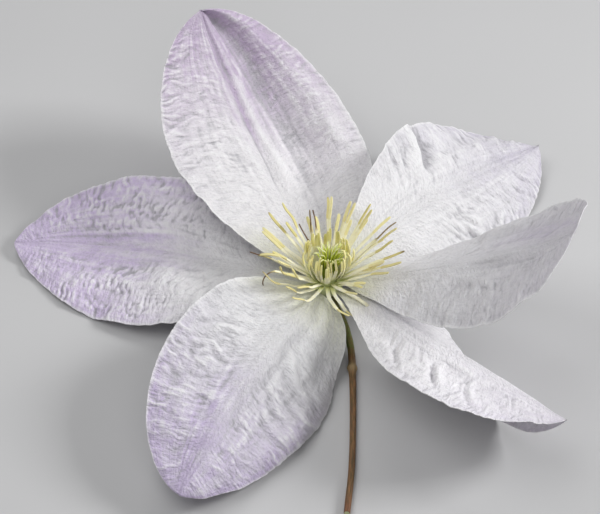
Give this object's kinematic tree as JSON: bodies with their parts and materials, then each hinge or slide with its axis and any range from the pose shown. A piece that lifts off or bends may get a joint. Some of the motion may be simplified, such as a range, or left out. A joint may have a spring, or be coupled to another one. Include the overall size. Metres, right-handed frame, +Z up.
{
  "type": "clematis flower",
  "caption": "Open white clematis flower with broad pointed sepals, a tuft of cream stamens round green pistils, and a short cut stalk, lying face up.",
  "frame": {"origin": "middle of the flower's box, on the surface that it lies on", "axes": "+Z up along the flower's axis, out of its face; the cut stalk runs towards -Y; +X to the right seen from the stalk's side"},
  "size_m": [0.1634, 0.1606, 0.0533],
  "materials": {
    "petal": "white petal, soft satin, tinted lilac at the tips and margins and cream green at the base",
    "stamen": "cream filaments with dull yellow anthers, a few of them dry and brown",
    "pistil": "yellow green styles with silky whitish tips",
    "stalk": "ribbed stalk, olive green under the flower turning purple brown"
  },
  "bodies": {
    "root": {"pistils": "pistil", "sepal_left": "petal", "sepal_lower_left": "petal", "sepal_lower_right": "petal", "sepal_right": "petal", "sepal_top": "petal", "sepal_upper_right": "petal", "stalk": "stalk", "stamen_inner_01": "stamen", "stamen_inner_02": "stamen", "stamen_inner_03": "stamen", "stamen_inner_04": "stamen", "stamen_inner_05": "stamen", "stamen_inner_06": "stamen", "stamen_inner_07": "stamen", "stamen_inner_08": "stamen", "stamen_inner_09": "stamen", "stamen_inner_10": "stamen", "stamen_inner_11": "stamen", "stamen_inner_12": "stamen", "stamen_middle_01": "stamen", "stamen_middle_02": "stamen", "stamen_middle_03": "stamen", "stamen_middle_04": "stamen", "stamen_middle_05": "stamen", "stamen_middle_06": "stamen", "stamen_middle_07": "stamen", "stamen_middle_08": "stamen", "stamen_middle_09": "stamen", "stamen_middle_10": "stamen", "stamen_middle_11": "stamen", "stamen_middle_12": "stamen", "stamen_middle_13": "stamen", "stamen_middle_14": "stamen", "stamen_middle_15": "stamen", "stamen_middle_16": "stamen", "stamen_outer_01": "stamen", "stamen_outer_02": "stamen", "stamen_outer_03": "stamen", "stamen_outer_04": "stamen", "stamen_outer_05": "stamen", "stamen_outer_06": "stamen", "stamen_outer_07": "stamen", "stamen_outer_08": "stamen", "stamen_outer_09": "stamen", "stamen_outer_10": "stamen", "stamen_outer_11": "stamen", "stamen_outer_12": "stamen", "stamen_outer_13": "stamen", "stamen_outer_14": "stamen", "stamen_outer_15": "stamen", "stamen_outer_16": "stamen", "stamen_outer_17": "stamen", "stamen_outer_18": "stamen", "stamen_outer_19": "stamen", "stamen_outer_20": "stamen"}
  },
  "joints": []
}
